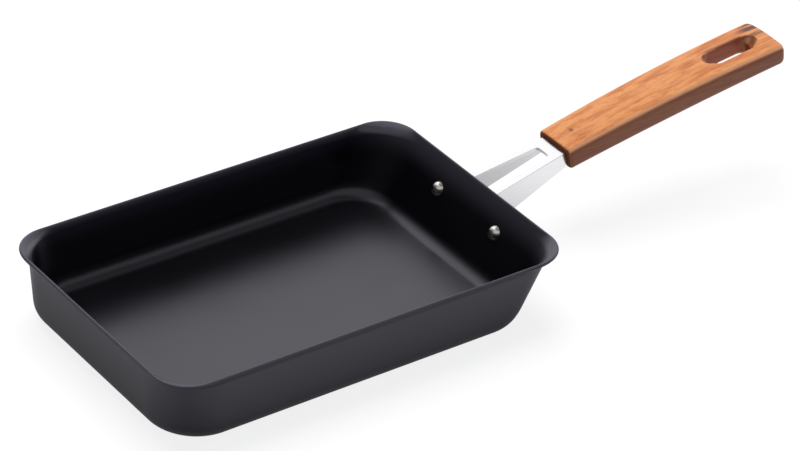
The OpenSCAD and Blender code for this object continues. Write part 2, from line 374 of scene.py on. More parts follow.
def geometry_tree(name: str, inputs: dict[str, str]) -> tuple[Tree, Any]:
    """Start a geometry tree that takes and gives a mesh.

    Args:
        name: The tree's name.
        inputs: Kind of each further input, by its name.

    Returns:
        The tree and its input node's outputs.
    """
    tree = bpy.data.node_groups.new(name, "GeometryNodeTree")
    for label, kind in {"Mesh": "Geometry", **inputs, "Material": "Material"}.items():
        tree.interface.new_socket(label, in_out="INPUT", socket_type="NodeSocket" + kind)
    tree.interface.new_socket("Mesh", in_out="OUTPUT", socket_type="NodeSocketGeometry")
    return tree, add(tree, "NodeGroupInput").outputs


def end_tree(tree: Tree, mesh: Socket, material: Socket) -> Tree:
    """End a geometry tree with Realize Instances and Set Material.

    Args:
        tree: The tree.
        mesh: The socket that gives the finished geometry.
        material: The socket that gives its material.

    Returns:
        The same tree.
    """
    real = add(tree, "GeometryNodeRealizeInstances", {"Geometry": mesh}).outputs[0]
    dressed = add(tree, "GeometryNodeSetMaterial", {"Geometry": real, "Material": material})
    add(tree, "NodeGroupOutput", {0: dressed.outputs[0]})
    return tree


@dataclass
class PanBody:
    """The pressed pan: one sheet with rounded corners, a rounded foot and a flared rim.

    A layer is a depth in the sheet, from 0 on its outer face to the sheet's thickness inside.
    """

    length: float = 180.4
    width: float = 120.0
    height: float = 29.7
    sheet: float = 1.5
    floor_round: float = 8.8
    side_lean: float = 1.5
    front_lean: float = 4.8
    handle_lean: float = 27.5
    foot_corner: float = 22.0
    rim_corner: float = 15.5
    flare_radius: float = 4.0
    flare_lean: float = 44.0
    edge_round: float = 0.5
    rivet_height: float = 17.3
    corner_steps: int = 24
    side_steps: int = 8
    arc_steps: int = 24
    wall_steps: int = 4
    flare_steps: int = 12
    lip_steps: int = 5
    floor_rings: tuple[float, ...] = (0.97, 0.85, 0.6, 0.3)
    highlight_to: float = 120.0  # Turn of a face over the rim, up from outwards, up to which it gets the painted rim highlight.
    outer_from: float = 0.15  # A face whose normal points out by this much is outside.
    under_from: float = 0.5  # One whose normal points down by this much is underneath.
    sharp_from: float = 35.0

    @property
    def curl_z(self) -> float:
        """Height of the centre round which the rim curls."""
        return self.height - (self.flare_radius + self.sheet) * sin_d(self.flare_lean)

    def foot_reach(self, lean: float, layer: float) -> float:
        """Return how far the foot's curve carries the sheet outwards."""
        return (self.floor_round - layer) * cos_d(lean)

    def foot_z(self, lean: float, layer: float) -> float:
        """Return the height at which the foot's curve meets the straight wall."""
        return self.floor_round - (self.floor_round - layer) * sin_d(lean)

    def curl_reach(self, lean: float) -> float:
        """Return the distance of the curl's centre from where the foot's curve begins."""
        rise = self.curl_z + self.flare_radius * sin_d(lean) - self.foot_z(lean, 0)
        return self.foot_reach(lean, 0) + self.flare_radius * cos_d(lean) + tan_d(lean) * rise

    def curl_height(self, lean: float, layer: float) -> float:
        """Return a layer's height where the curl has turned to a lean, the wall's or the flare's."""
        return self.curl_z + (self.flare_radius + layer) * sin_d(lean)

    def reach(self, z: float, lean: float, layer: float) -> float:
        """Return how far the sheet has gone outwards at a height.

        Args:
            z: The height.
            lean: The wall's lean.
            layer: Depth in the sheet.

        Returns:
            The distance from where the foot's curve begins.
        """
        if z < self.foot_z(lean, layer):
            bend = (self.floor_round - layer) ** 2 - (self.floor_round - z) ** 2
            return math.sqrt(max(0.0, bend))
        if z < self.curl_height(lean, layer):
            return self.foot_reach(lean, layer) + tan_d(lean) * (z - self.foot_z(lean, layer))
        bend = (self.flare_radius + layer) ** 2 - (z - self.curl_z) ** 2
        return self.curl_reach(lean) - math.sqrt(max(0.0, bend))

    def wall_at(self, half: float, z: float, lean: float, layer: float) -> float:
        """Return how far a wall stands from the middle at a height."""
        top = self.curl_height(self.flare_lean, 0)
        return half - self.reach(top, lean, 0) + self.reach(z, lean, layer)

    def corner_at(self, z: float, layer: float) -> float:
        """Return the corner's radius: one radius up the wall, then drawing in at the rim.

        Args:
            z: The height.
            layer: Depth in the sheet.

        Returns:
            The radius.
        """
        lean = self.side_lean
        now = self.reach(z, lean, layer)
        low = self.reach(self.curl_height(lean, layer), lean, layer)
        top = self.reach(self.curl_height(self.flare_lean, layer), lean, layer)
        foot = self.foot_corner - layer + min(0.0, now - self.foot_reach(lean, layer))
        return foot + (self.rim_corner - self.foot_corner) * max(0.0, (now - low) / (top - low))

    def ring(self, z: float, layer: float, shrink: float = 1.0) -> list[Vector]:
        """Return the outline at a height.

        Args:
            z: The height.
            layer: Depth in the sheet.
            shrink: Share of the outline's size, for the rings of the flat floor.

        Returns:
            The points, in metres, one way round.
        """
        radius = self.corner_at(z, layer)
        side = self.wall_at(self.width / 2, z, self.side_lean, layer)
        corners = []
        for quarter in range(4):
            handle = quarter in (0, 3)
            lean = self.handle_lean if handle else self.front_lean
            end = self.wall_at(self.length / 2, z, lean, layer)
            middle = Vector((
                (1 if handle else -1) * (end - radius), (1 if quarter < 2 else -1) * (side - radius), z,
            ))
            corners.append([
                middle + Vector((radius * cos_d(turn), radius * sin_d(turn), 0))
                for turn in spread(90 * quarter, 90 * quarter + 90, self.corner_steps)
            ])
        points = []
        for corner, after in zip(corners, corners[1:] + corners[:1]):
            points += corner
            points += [corner[-1].lerp(after[0], j / self.side_steps) for j in range(1, self.side_steps)]
        return [Vector((p.x * shrink, p.y * shrink, p.z)) * MM for p in points]

    def levels(self, layer: float) -> list[float]:
        """Return the heights of the rings of one face.

        Args:
            layer: Depth in the sheet.

        Returns:
            The heights, from the floor to short of the rim's edge.
        """
        lean, curl, radius = self.side_lean, self.flare_radius + layer, self.floor_round - layer
        last = self.flare_lean - math.degrees(self.edge_round / curl)
        arc = [self.floor_round - radius * cos_d(a) for a in spread(0, 90 - lean, self.arc_steps)]
        wall = spread(self.foot_z(lean, layer), self.curl_height(lean, layer), self.wall_steps, 1)
        flare = [self.curl_height(a, layer) for a in spread(lean, last, self.flare_steps, 1)]
        return arc + wall + flare[:-1]

    def lip(self) -> Profile:
        """Return the rings round the rim's edge.

        Returns:
            Height and layer of each, from outside to inside.
        """
        steps = [self.edge_round * (1 - cos_d(a)) for a in spread(0, 90, self.lip_steps)]
        found = []
        for layer in steps + [self.sheet - step for step in reversed(steps)]:
            back = draw_in(min(layer, self.sheet - layer), self.edge_round)
            turn = self.flare_lean - math.degrees(back / (self.flare_radius + layer))
            found.append((self.curl_height(turn, layer), layer))
        return found

    def wall_frame(self) -> Matrix:
        """Return the frame on the handle wall's outer face, X outwards, at the rivets' height."""
        x = self.wall_at(self.length / 2, self.rivet_height, self.handle_lean, 0)
        return frame_at(x, self.rivet_height, self.handle_lean)

    def build(self, rivets: "Rivets") -> Object:
        """Build the pan's mesh.

        Args:
            rivets: The rivets, whose holes are cut.

        Returns:
            The pan.
        """
        mesh = bmesh.new()
        places = [(z, 0.0) for z in self.levels(0)] + self.lip()
        places += [(z, self.sheet) for z in reversed(self.levels(self.sheet))]
        outlines = [self.ring(0, 0, share) for share in reversed(self.floor_rings)]
        outlines += [self.ring(z, layer) for z, layer in places]
        outlines += [self.ring(self.sheet, self.sheet, share) for share in self.floor_rings]
        rings = [[mesh.verts.new(p) for p in outline] for outline in outlines]
        loft(mesh, rings)
        mesh.faces.new(list(reversed(rings[0])))
        mesh.faces.new(rings[-1])
        pan = new_object("pan_pressed_body", mesh)
        carve(pan, rivets.hole_cutters(self.wall_frame(), self.sheet))
        for face in pan.data.polygons:
            outwards = face.normal.xy.dot(face.center.xy.normalized())
            facing = math.degrees(math.atan2(face.normal.z, outwards))
            finish = PanFinish.COATING
            # Faces over the rim get the painted rim highlight, a mid grey.
            if face.center.z > self.curl_z * MM and 0 < facing < self.highlight_to:
                finish = PanFinish.RIM_HIGHLIGHT
            elif outwards > self.outer_from or face.normal.z < -self.under_from:
                finish = PanFinish.PAINT
            face.material_index = finish.value
        return smooth(pan, self.sharp_from)


@dataclass
class Rivets:
    """The two rivets: a domed head inside the pan, a shank and a flatter set head behind the ear."""

    spacing: float = 37.4
    shank: float = 3.6
    head: float = 6.4
    dome: float = 2.2
    set_head: float = 1.2
    gap: float = 0.05
    pan_sheet: float = 1.5
    ear_sheet: float = 1.5
    rim_round: float = 0.25
    # The eased rim: share of the way out to the head's radius, distance past it, share of the height.
    rim_ease: tuple[Triple, ...] = ((0.5, 0.02, 0.45), (1.0, -0.02, 0.15), (1.0, -0.06, 0.0))
    hole_cut: float = 3.0
    sides: int = 48
    dome_steps: int = 14

    def offsets(self) -> list[Vector]:
        """Return each rivet's place on the wall, in metres."""
        return [Vector((0, side.value * self.spacing / 2 * MM, 0)) for side in Side]

    def hole_cutters(self, wall: Matrix, reach: float) -> Iterator[Object]:
        """Make the cutters of the rivet holes.

        Args:
            wall: The frame on the handle wall.
            reach: Sheet thickness that they go through.

        Yields:
            One cutter for each rivet.
        """
        radius, length = self.shank / 2 + self.gap, self.hole_cut * reach
        profile = [(0, -length), (radius, -length), (radius, length), (0, length)]
        for offset in self.offsets():
            place = wall @ Matrix.Translation(offset) @ Matrix.Rotation(math.pi / 2, 4, "Y")
            yield cutter(lathe(profile, self.sides), place)

    def cap(self, height: float) -> Profile:
        """Return a head's profile, from its pole to its eased rim.

        Args:
            height: The head's height.

        Returns:
            Radius and height above the head's seat of each point.
        """
        half = self.head / 2
        ball = (half * half + height * height) / (2 * height)
        edge = math.degrees(math.asin(min(1.0, half / ball)))
        if height > ball:
            edge = 180 - edge
        turns = spread(0, edge - math.degrees(self.rim_round / ball), self.dome_steps)
        points = [(ball * sin_d(a), height - ball + ball * cos_d(a)) for a in turns]
        r, z = points[-1]
        return points + [(r + (half - r) * out + past, z * up) for out, past, up in self.rim_ease]

    def one(self) -> Mesh:
        """Return one rivet.

        Returns:
            It about the Z axis, its domed head up and z = 0 on the wall's outer face.
        """
        inner = [(r, z + self.pan_sheet) for r, z in self.cap(self.dome)]
        outer = [(r, -self.ear_sheet - z) for r, z in self.cap(self.set_head)]
        shank = [(self.shank / 2, self.pan_sheet), (self.shank / 2, -self.ear_sheet)]
        return lathe(inner + shank + list(reversed(outer)), self.sides)


@dataclass
class Bracket:
    """The folded steel bracket: a web with its air window, two flanges, two ears and the tang.

    Its mesh is a copy of its CAD solid, merged so that no edge is too short to be rounded.
    """

    sheet: float = 1.5
    tilt: float = 11.7
    height: float = 34.9
    front_x: float = 125.2
    neck_width: float = 14.2
    neck_taper: float = 2.8
    flange_depth: float = 5.8
    flange_lean: float = 7.0
    fold_round: float = 0.8
    inner_fold_round: float = 0.3
    edge_round: float = 0.2
    fold_steps: int = 8
    merge: float = 0.012  # Corners nearer than this become one.
    flat_angle: float = 0.5
    flat_area: float = 25.0  # Area from which a face is flat and shaded so.
    least_angle: float = 28.0  # Angle from which an edge is rounded.
    near: float = 0.05  # How near to the fold's line an edge's ends must lie.

    def place(self) -> Matrix:
        """Return the frame at the grip's front face on the bracket's upper face, X up along it."""
        return frame_at(self.front_x, self.height, -self.tilt)

    def rounding(self, edge: bmesh.types.BMEdge, back: Matrix) -> float:
        """Return the radius by which an edge is rounded.

        Args:
            edge: The edge.
            back: Turns a place into the bracket's frame.

        Returns:
            The radius in millimetres, 0 for an edge that stays as it is.
        """
        if len(edge.link_faces) != 2 or edge.calc_face_angle(0) < math.radians(self.least_angle):
            return 0.0
        ends = [back @ v.co / MM for v in edge.verts]
        lines = [self.neck_width / 2 - p.x * tan_d(self.neck_taper) for p in ends]
        gaps = [max(abs(p.z), abs(abs(p.y) - line)) for p, line in zip(ends, lines)]
        if max(gaps) < self.near:
            return self.fold_round
        return self.edge_round if edge.is_convex else self.inner_fold_round

    def build(self) -> Object:
        """Build the bracket from its CAD solid, with its folds and edges rounded.

        Returns:
            The bracket.
        """
        mesh = bmesh.new()
        mesh.from_mesh(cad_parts["handle_bracket"].data)
        bmesh.ops.remove_doubles(mesh, verts=mesh.verts, dist=self.merge * MM)
        flat = math.radians(self.flat_angle)
        bmesh.ops.dissolve_limit(mesh, angle_limit=flat, verts=mesh.verts, edges=mesh.edges)
        weights = mesh.edges.layers.float.new("bevel_weight_edge")
        back = self.place().inverted()
        for edge in mesh.edges:
            edge[weights] = self.rounding(edge, back) / self.fold_round
        bracket = new_object("folded_bracket", mesh)
        bevel = bracket.modifiers.new("folds", "BEVEL")
        bevel.limit_method = "WEIGHT"
        bevel.width = self.fold_round * MM
        bevel.segments = self.fold_steps
        bevel.use_clamp_overlap, bevel.loop_slide = True, False
        settle(bracket)
        for face in bracket.data.polygons:
            face.use_smooth = face.area < self.flat_area * MM**2
        return bracket


@dataclass
class Tang:
    """The flat end of the bracket inside the grip, which the screws go through."""

    length: float = 58.0
    width: float = 9.0
    start: float = 1.0
    screw_margin: float = 10.0
    screw_spacing: float = 30.0

    def screw_places(self) -> Pair:
        """Return the places of the front and the rear screw along the tang."""
        rear = self.length - self.screw_margin
        return rear - self.screw_spacing, rear

    def slot(self, bracket: Bracket, gap: float) -> Mesh:
        """Return the tang's slot in the wood.

        Args:
            bracket: The bracket that the tang belongs to.
            gap: Room round the tang.

        Returns:
            The slot's shape, in the bracket's frame.
        """
        middle = -(bracket.flange_depth + bracket.sheet) / 2
        low, high = middle - bracket.sheet / 2 - gap, middle + bracket.sheet / 2 + gap
        half = self.width / 2 + gap
        return block((self.start, -half, low), (self.length + gap, half, high))


@dataclass
class Screws:
    """The two countersunk cross-head screws that hold the tang from below."""

    shank: float = 2.8
    head: float = 5.4
    cone: float = 1.5
    length: float = 7.0
    sink: float = 0.4
    cross_arm: float = 0.7
    cross_reach: float = 0.3  # Half the cross's length, as a share of the head.
    cross_depth: float = 0.9
    cross_start: float = -1.0
    edge: float = 0.12
    sides: int = 40

    def profile(self, gap: float, way_in: float) -> Profile:
        """Return the screw's profile, its head down at z = 0.

        Args:
            gap: How much wider the hole is than the screw, 0 for the screw itself.
            way_in: Depth of the hole's round way in below the head.

        Returns:
            Radius and height of each point.
        """
        head, shank = self.head / 2 + gap, self.shank / 2 + gap
        ease = self.edge if gap == 0 else 0
        return [
            (0, -way_in), (head - ease, -way_in), (head, ease), (shank, self.cone),
            (shank, self.length - self.shank / 2), (self.shank / 8 + gap, self.length + gap),
            (0, self.length + gap),
        ]

    def places(self, grip: "Grip", bracket: Bracket, tang: Tang) -> list[Vector]:
        """Return the place of each screw's head in the bracket's frame, in metres."""
        spots = tang.screw_places()
        return [Vector((x, 0, grip.underside(x, bracket) + self.sink)) * MM for x in spots]

    def one(self) -> Mesh:
        """Return one screw with its cross recess.

        Returns:
            It about the Z axis, its head down at z = 0.
        """
        screw = new_object("screw_blank", lathe(self.profile(0, 0), self.sides))
        arm, half = self.head * self.cross_reach, self.cross_arm / 2
        cross = block((-arm, -half, self.cross_start), (arm, half, self.cross_depth))
        turns = (Matrix.Rotation(turn, 4, "Z") for turn in (0, math.pi / 2))
        carve(screw, [cutter(cross.copy(), turn) for turn in turns])
        cross.free()
        mesh = bmesh.new()
        mesh.from_mesh(screw.data)
        bpy.data.meshes.remove(screw.data)
        return mesh


@dataclass
class Grip:
    """The bowed wooden grip with its hanging slot, its socket and the slot for the tang.

    It is built straight, with X from its front face along it and z = 0 on its middle plane, and
    then bowed. A turn is a direction from the hanging slot's middle, in radians from X.
    """

    length: float = 108.4
    front_width: float = 20.5
    end_width: float = 24.9
    front_thick: float = 9.2
    middle_thick: float = 9.7
    end_thick: float = 8.4
    tilt: float = 12.2
    bend: float = 5.3
    lift: float = 0.3
    crown: float = 0.4
    edge: float = 2.4
    edge_most: float = 0.9  # Greatest share of the half thickness that the edge's radius takes.
    end_round: float = 3.0
    front_round: float = 1.0
    slot_width: float = 9.1
    slot_length: float = 21.0
    slot_inset: float = 19.5
    slot_corner: float = 2.6
    slot_upper_bevel: float = 0.8
    slot_lower_bevel: float = 1.9
    scoop_draw_in: float = 0.5
    scoop_tilt: float = 35.0
    scoop_depth: float = 3.4
    slot_ease: float = 0.2
    patch_back: float = 20.0
    patch_crowding: float = 0.8  # Below 1, the patch's rings lie closer near the slot.
    patch_half_columns: int = 12
    socket_depth: float = 4.0
    wood_gap: float = 0.1
    edge_steps: int = 8
    crown_columns: int = 28
    bow_stations: int = 120
    round_steps: int = 10
    upper_steps: int = 2
    wall_steps: int = 16
    lower_steps: int = 3
    ease_steps: int = 4
    patch_rings: int = 4
    sharp_from: float = 38.0

    @property
    def slot_middle(self) -> float:
        """Place of the slot's middle along the grip."""
        return self.length - self.slot_inset

    @property
    def face_z(self) -> float:
        """Height of the grip's upper face at the slot's middle."""
        return self.thick(self.slot_middle) / 2 + self.crown

    def thick(self, s: float) -> float:
        """Return the thickness, a parabola through the front's, the middle's and the end's.

        Args:
            s: Distance from the front face.

        Returns:
            The thickness without the crown.
        """
        u = s / self.length
        front = self.front_thick * (1 - u) * (1 - 2 * u)
        return front + 4 * self.middle_thick * u * (1 - u) + self.end_thick * u * (2 * u - 1)

    def halves(self, s: float) -> Triple:
        """Return the sizes of a cross section.

        Args:
            s: Distance from the front face.

        Returns:
            Half width, half thickness and edge radius.
        """
        in_end = draw_in(self.length - s, self.end_round)
        in_front = draw_in(s, self.front_round)
        width = self.front_width + (self.end_width - self.front_width) * s / self.length
        half_t = self.thick(s) / 2 - in_front - in_end * self.edge / self.end_round / 2
        return width / 2 - in_end - in_front, half_t, min(self.edge, half_t * self.edge_most)

    def surface(self, s: float, y: float, face: Face) -> float:
        """Return the height of the upper or lower face.

        Args:
            s: Distance from the front face.
            y: Distance from the middle, across.
            face: The upper or the lower face.

        Returns:
            The height.
        """
        half_w, half_t, edge = self.halves(s)
        swell = self.crown * max(0.0, 1 - (y / (half_w - edge)) ** 2)
        return face.value * (half_t + swell)

    def stations(self) -> list[float]:
        """Return the places of the rings along the grip.

        Returns:
            Their distances from the front face.
        """
        steps = spread(0, 90, self.round_steps)
        front = [self.front_round * (1 - cos_d(a)) for a in steps[:-1]]
        middle = spread(self.front_round, self.length - self.end_round, self.bow_stations)[:-1]
        return front + middle + [self.length - self.end_round * (1 - sin_d(a)) for a in steps]

    def ring(self, s: float) -> list[Point]:
        """Return one cross section.

        Args:
            s: Distance from the front face.

        Returns:
            Its points, from the right edge over the top.
        """
        half_w, half_t, edge = self.halves(s)
        start = half_w - edge
        points = []
        for quarter in range(4):
            right, up = (1 if quarter in (0, 3) else -1), (1 if quarter < 2 else -1)
            for turn in spread(90 * quarter, 90 * quarter + 90, self.edge_steps):
                z = up * (half_t - edge) + edge * sin_d(turn)
                points.append((s, right * start + edge * cos_d(turn), z))
            if quarter % 2 == 0:
                for i in range(1, self.crown_columns):
                    y = right * start * (1 - 2 * i / self.crown_columns)
                    points.append((s, y, self.surface(s, y, Face(up))))
        return points

    def slot_radius(self, turn: float, z: float) -> float:
        """Return the slot's outline at a height, as seen from its middle.

        The slot is a rounded rectangle with bevels, and its ends are scooped out on a slant.

        Args:
            turn: Direction from the slot's middle.
            z: Height above the grip's middle plane.

        Returns:
            The distance of the slot's wall.
        """
        along, across = abs(math.cos(turn)), abs(math.sin(turn))
        upper, lower = z - self.face_z + self.slot_upper_bevel, self.slot_lower_bevel - self.face_z - z
        bevel = max(0.0, upper, lower)
        sizes = (self.slot_width / 2, self.slot_length / 2, self.slot_corner)
        half, end, corner = (size + bevel for size in sizes)
        flat = min(half / max(across, TINY), end / max(along, TINY))
        if flat * along > end - corner and flat * across > half - corner:
            middle = Vector((end - corner, half - corner))
            nearest = middle.dot((along, across))
            flat = nearest + math.sqrt(nearest**2 - middle.length_squared + corner**2)
        side = (self.slot_width - self.scoop_draw_in) / 2
        long_half = side / cos_d(self.scoop_tilt)
        between = (self.slot_length - self.slot_width) / 2
        centre = between + (z - self.face_z + self.scoop_depth) * tan_d(self.scoop_tilt)
        a = (along / long_half) ** 2 + (across / side) ** 2
        b = -2 * centre * along / long_half**2
        c = (centre / long_half) ** 2 - 1
        inside = b * b - 4 * a * c
        scoop = (-b + math.sqrt(inside)) / (2 * a) if inside > 0 else 0.0
        return max(flat, scoop)

    def slot_point(self, turn: float, radius: float, z: float) -> Point:
        """Return the point at a turn, a distance from the slot's middle and a height."""
        return (self.slot_middle + radius * math.cos(turn), radius * math.sin(turn), z)

    def turns(self, ring: list[Any]) -> list[float]:
        """Return the turn at which each vertex of a ring lies."""
        return [math.atan2(v.co.y, v.co.x - self.slot_middle) for v in ring]

    def wall_shares(self) -> list[float]:
        """Return the heights of the rings of the slot's wall.

        Returns:
            Shares of the way from the wall's upper edge down.
        """
        tall = 2 * (self.face_z - self.slot_ease)
        high = (self.slot_upper_bevel - self.slot_ease) / tall
        low = 1 - (self.slot_lower_bevel - self.slot_ease) / tall
        bevel = spread(0, high, self.upper_steps, 1)
        return bevel + spread(high, low, self.wall_steps, 1) + spread(low, 1, self.lower_steps, 1)[:-1]

    def patch(self, mesh: Mesh, rings: list[list[Any]], face: Face) -> list[Any]:
        """Cut the slot's mouth into one face.

        Args:
            mesh: The grip's mesh.
            rings: Its vertices, ring by ring.
            face: The upper or the lower face.

        Returns:
            The ring of vertices where the slot's wall begins, in order round the slot.
        """
        middle = self.edge_steps + self.crown_columns // 2
        if face is Face.LOWER:
            middle += 2 * self.edge_steps + self.crown_columns + 1
        columns = [middle + k for k in range(-self.patch_half_columns, self.patch_half_columns + 1)]
        places = self.stations()
        first = min(i for i, s in enumerate(places) if s >= self.slot_middle - self.patch_back)
        last = len(places) - 1 - self.round_steps
        doomed = [v for ring in rings[first + 1 : last] for v in (ring[c] for c in columns[1:-1])]
        loop = [rings[i][columns[0]] for i in range(first, last)]
        loop += [rings[last][c] for c in columns[:-1]]
        loop += [rings[i][columns[-1]] for i in range(last, first, -1)]
        loop += [rings[first][c] for c in reversed(columns[1:])]
        bmesh.ops.delete(mesh, geom=doomed, context="VERTS")
        turns = self.turns(loop)
        outlines = [loop]
        for step in spread(0, 1, self.patch_rings, 1):
            outline, part = [], step**self.patch_crowding
            for vert, turn in zip(loop, turns):
                mouth = self.mouth(turn, face, 0.0)
                s = vert.co.x + (mouth[0] - vert.co.x) * part
                y = vert.co.y + (mouth[1] - vert.co.y) * part
                outline.append(mesh.verts.new((s, y, self.surface(s, y, face))))
            outlines.append(outline)
        for share in spread(0, 1, self.ease_steps, 1):
            outlines.append([mesh.verts.new(self.mouth(turn, face, share)) for turn in turns])
        loft(mesh, outlines)
        return outlines[-1]

    def mouth(self, turn: float, face: Face, share: float) -> Point:
        """Return a point of the eased edge round the slot's mouth.

        Args:
            turn: Direction from the slot's middle.
            face: The upper or the lower face.
            share: 0 on the grip's face, 1 on the slot's wall.

        Returns:
            Its place.
        """
        level = self.surface(self.slot_middle, 0, face)
        radius = self.slot_radius(turn, level)
        level = self.surface(*self.slot_point(turn, radius, 0)[:2], face)
        radius = self.slot_radius(turn, level)
        outer = Vector((radius + self.slot_ease, 0))
        on_face = self.surface(*self.slot_point(turn, outer.x, 0)[:2], face)
        low = level - face.value * self.slot_ease
        start, corner = Vector((outer.x, on_face)), Vector((radius, level))
        end = Vector((self.slot_radius(turn, low), low))
        at = start.lerp(corner, share).lerp(corner.lerp(end, share), share)
        return self.slot_point(turn, at.x, at.y)

    def straight(self) -> Mesh:
        """Return the straight grip with its slot.

        Returns:
            A closed mesh in metres.
        """
        mesh = bmesh.new()
        rings = [[mesh.verts.new(p) for p in self.ring(s)] for s in self.stations()]
        loft(mesh, rings)
        for ring, turned in ((rings[0], True), (rings[-1], False)):
            count = len(ring)
            for j in range(count // 2 - 1):
                quad = (ring[j], ring[j + 1], ring[count - 2 - j], ring[count - 1 - j])
                mesh.faces.new(quad if turned else tuple(reversed(quad)))
        upper = self.patch(mesh, rings, Face.UPPER)
        lower = list(reversed(self.patch(mesh, rings, Face.LOWER)))
        turns = self.turns(upper)
        shift = min(range(len(lower)), key=lambda k: (lower[k].co.xy - upper[0].co.xy).length)
        lower = lower[shift:] + lower[:shift]
        walls = [upper]
        for share in self.wall_shares():
            wall = []
            for a, b, turn in zip(upper, lower, turns):
                z = a.co.z + (b.co.z - a.co.z) * share
                wall.append(mesh.verts.new(self.slot_point(turn, self.slot_radius(turn, z), z)))
            walls.append(wall)
        loft(mesh, walls + [lower])
        for vert in mesh.verts:
            vert.co *= MM
        bmesh.ops.recalc_face_normals(mesh, faces=mesh.faces)
        return mesh

    def bow_tree(self) -> Tree:
        """Build the geometry tree that bows the straight grip along an arc.

        Returns:
            The tree. Its inputs are Length, Bend, Kick, Lift and Material.
        """
        sizes = ("Length", "Bend", "Kick", "Lift")
        tree, given = geometry_tree("Bow along an arc", dict.fromkeys(sizes, "Float"))
        place = add(tree, "GeometryNodeInputPosition").outputs[0]
        at = add(tree, "ShaderNodeSeparateXYZ", {0: place}).outputs
        known = {name: given[name] for name in sizes} | {name: at[name] for name in "XYZ"}
        for name, operation, *values in (
            ("share", "DIVIDE", "X", "Length"), ("turned", "MULTIPLY", "share", "Bend"),
            ("angle", "SUBTRACT", "Kick", "turned"), ("radius", "DIVIDE", "Length", "Bend"),
            ("sine", "SINE", "angle"), ("cosine", "COSINE", "angle"),
            ("first sine", "SINE", "Kick"), ("first cosine", "COSINE", "Kick"),
            ("run", "SUBTRACT", "first sine", "sine"), ("rise", "SUBTRACT", "cosine", "first cosine"),
            ("line x", "MULTIPLY", "radius", "run"), ("line z", "MULTIPLY", "radius", "rise"),
            ("off x", "MULTIPLY", "sine", "Z"), ("off z", "MULTIPLY", "cosine", "Z"),
            ("bowed x", "SUBTRACT", "line x", "off x"), ("level z", "ADD", "line z", "off z"),
            ("bowed z", "ADD", "level z", "Lift"),
        ):
            inputs = {i: known[value] for i, value in enumerate(values)}
            known[name] = add(tree, "ShaderNodeMath", inputs, operation=operation).outputs[0]
        place = add(tree, "ShaderNodeCombineXYZ", {
            "X": known["bowed x"], "Y": known["Y"], "Z": known["bowed z"],
        })
        bowed = add(tree, "GeometryNodeSetPosition", {
            "Geometry": given["Mesh"], "Position": place.outputs[0],
        })
        return end_tree(tree, bowed.outputs[0], given["Material"])

    def bow(self, bracket: Bracket) -> Triple:
        """Return the bow's radius, its kick from the bracket and its middle's height there."""
        lift = self.lift - bracket.flange_depth / 2
        return self.length / math.radians(self.bend), self.tilt - bracket.tilt, lift

    def underside(self, x: float, bracket: Bracket) -> float:
        """Return the height of the grip's underside.

        Args:
            x: Place along the bracket, in its frame.
            bracket: The bracket.

        Returns:
            The height, in the same frame.
        """
        radius, kick, lift = self.bow(bracket)
        angle = math.degrees(math.asin(sin_d(kick) - x / radius))
        s = (kick - angle) / self.bend * self.length
        middle = lift + radius * (cos_d(angle) - cos_d(kick))
        return middle - (self.thick(s) / 2 + self.crown) / cos_d(angle)

    def build(self, bracket: Bracket, tang: Tang, screws: Screws, material: Any) -> Object:
        """Build the grip.

        Args:
            bracket: The bracket that it sits on.
            tang: The tang that runs into it.
            screws: The screws, whose holes are cut.
            material: Its finish.

        Returns:
            The grip.
        """
        grip = new_object("wooden_grip", self.straight())
        _, kick, lift = self.bow(bracket)
        bow = grip.modifiers.new("bow", "NODES")
        bow.node_group = self.bow_tree()
        set_inputs(bow, {
            "Length": self.length * MM, "Bend": math.radians(self.bend),
            "Kick": math.radians(kick), "Lift": lift * MM, "Material": material,
        })
        settle(grip)
        place, gap = bracket.place(), self.wood_gap
        grip.data.transform(place)
        half = bracket.neck_width / 2 + bracket.flange_depth * tan_d(bracket.flange_lean) + gap
        low, high = (-OVERCUT, -half, -bracket.flange_depth - gap), (self.socket_depth + gap, half, gap)
        carve(grip, [cutter(block(low, high), place), cutter(tang.slot(bracket, gap), place)])
        hole = screws.profile(gap, OVERCUT)
        carve(grip, [
            cutter(lathe(hole, screws.sides), place @ Matrix.Translation(at))
            for at in screws.places(self, bracket, tang)
        ])
        return smooth(grip, self.sharp_from)


